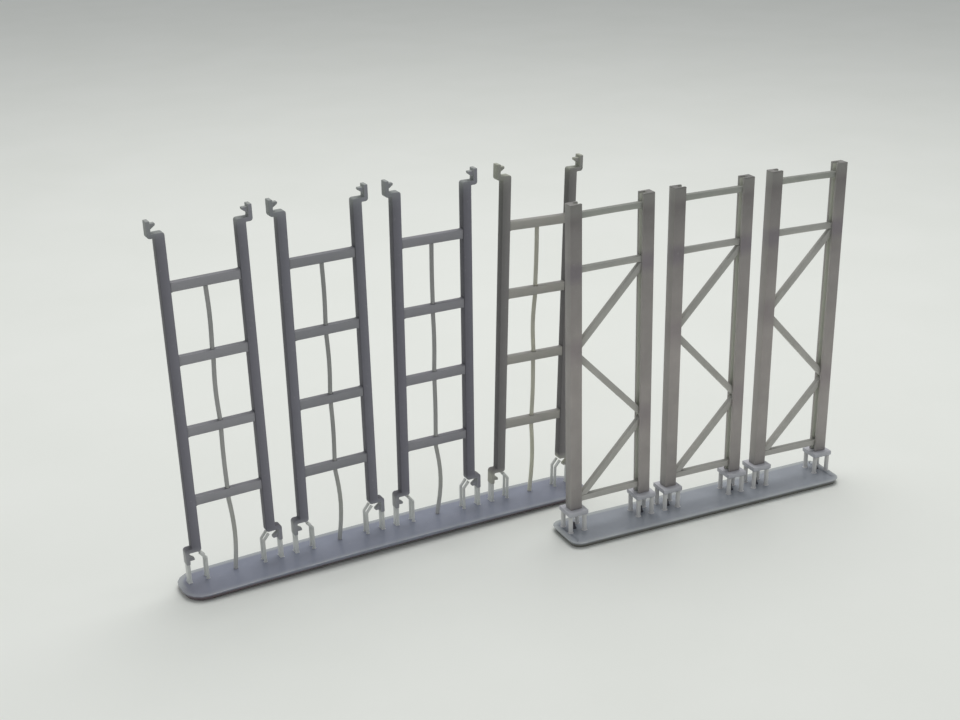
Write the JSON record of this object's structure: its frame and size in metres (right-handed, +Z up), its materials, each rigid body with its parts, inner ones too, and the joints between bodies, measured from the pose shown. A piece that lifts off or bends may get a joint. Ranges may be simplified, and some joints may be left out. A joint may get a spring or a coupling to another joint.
{
  "type": "model pallet rack kit",
  "caption": "Model railway pallet-rack kit in grey resin: braced upright frames and hooked beam levels standing on two print rafts by thin supports.",
  "frame": {"origin": "middle of the kit's footprint, on the table", "axes": "+X along the left raft from left to right, +Y from the front rafts' side to the back, +Z up"},
  "size_m": [0.0976, 0.0226, 0.0517],
  "materials": {
    "raft_resin": "flat grey resin, slightly bluish on its broad top",
    "rail_resin": "flat dark grey resin",
    "bar_resin": "flat grey resin, a little translucent",
    "post_resin": "flat warm grey resin",
    "brace_resin": "flat grey resin, a little translucent",
    "foot_resin": "flat grey resin",
    "rod_resin": "thin grey resin, translucent"
  },
  "bodies": {
    "left_raft": {"left_raft": "raft_resin"},
    "level_1": {"level1_left_rail": "rail_resin", "level1_right_rail": "rail_resin", "level1_pallet_bar_1": "bar_resin", "level1_pallet_bar_2": "bar_resin", "level1_pallet_bar_3": "bar_resin", "level1_pallet_bar_4": "bar_resin", "level1_support_rod": "rod_resin"},
    "level_2": {"level2_left_rail": "rail_resin", "level2_right_rail": "rail_resin", "level2_pallet_bar_1": "bar_resin", "level2_pallet_bar_2": "bar_resin", "level2_pallet_bar_3": "bar_resin", "level2_pallet_bar_4": "bar_resin", "level2_support_rod": "rod_resin"},
    "level_3": {"level3_left_rail": "rail_resin", "level3_right_rail": "rail_resin", "level3_pallet_bar_1": "bar_resin", "level3_pallet_bar_2": "bar_resin", "level3_pallet_bar_3": "bar_resin", "level3_pallet_bar_4": "bar_resin", "level3_support_rod": "rod_resin"},
    "level_4": {"level4_left_rail": "rail_resin", "level4_right_rail": "rail_resin", "level4_pallet_bar_1": "bar_resin", "level4_pallet_bar_2": "bar_resin", "level4_pallet_bar_3": "bar_resin", "level4_pallet_bar_4": "bar_resin", "level4_support_rod": "rod_resin"},
    "right_raft": {"right_raft": "raft_resin"},
    "upright_1": {"upright1_left_post": "post_resin", "upright1_right_post": "post_resin", "upright1_top_bar": "brace_resin", "upright1_middle_bar": "brace_resin", "upright1_bottom_bar": "brace_resin", "upright1_diagonal_1": "brace_resin", "upright1_diagonal_2": "brace_resin", "upright1_diagonal_3": "brace_resin", "upright1_left_foot_plate": "foot_resin", "upright1_right_foot_plate": "foot_resin"},
    "upright_2": {"upright2_left_post": "post_resin", "upright2_right_post": "post_resin", "upright2_top_bar": "brace_resin", "upright2_middle_bar": "brace_resin", "upright2_bottom_bar": "brace_resin", "upright2_diagonal_1": "brace_resin", "upright2_diagonal_2": "brace_resin", "upright2_diagonal_3": "brace_resin", "upright2_left_foot_plate": "foot_resin", "upright2_right_foot_plate": "foot_resin"},
    "upright_3": {"upright3_left_post": "post_resin", "upright3_right_post": "post_resin", "upright3_top_bar": "brace_resin", "upright3_middle_bar": "brace_resin", "upright3_bottom_bar": "brace_resin", "upright3_diagonal_1": "brace_resin", "upright3_diagonal_2": "brace_resin", "upright3_diagonal_3": "brace_resin", "upright3_left_foot_plate": "foot_resin", "upright3_right_foot_plate": "foot_resin"}
  },
  "joints": [
    {"name": "level_1_lift", "type": "slide", "parent": "left_raft", "child": "level_1", "axis": [0, 0, 1], "range_m": [0, 0.01]},
    {"name": "level_2_lift", "type": "slide", "parent": "left_raft", "child": "level_2", "axis": [0, 0, 1], "range_m": [0, 0.01]},
    {"name": "level_3_lift", "type": "slide", "parent": "left_raft", "child": "level_3", "axis": [0, 0, 1], "range_m": [0, 0.01]},
    {"name": "level_4_lift", "type": "slide", "parent": "left_raft", "child": "level_4", "axis": [0, 0, 1], "range_m": [0, 0.01]},
    {"name": "right_raft_lift", "type": "slide", "parent": "left_raft", "child": "right_raft", "axis": [0, 0, 1], "range_m": [0, 0.01]},
    {"name": "upright_1_lift", "type": "slide", "parent": "right_raft", "child": "upright_1", "axis": [0, 0, 1], "range_m": [0, 0.01]},
    {"name": "upright_2_lift", "type": "slide", "parent": "right_raft", "child": "upright_2", "axis": [0, 0, 1], "range_m": [0, 0.01]},
    {"name": "upright_3_lift", "type": "slide", "parent": "right_raft", "child": "upright_3", "axis": [0, 0, 1], "range_m": [0, 0.01]}
  ]
}
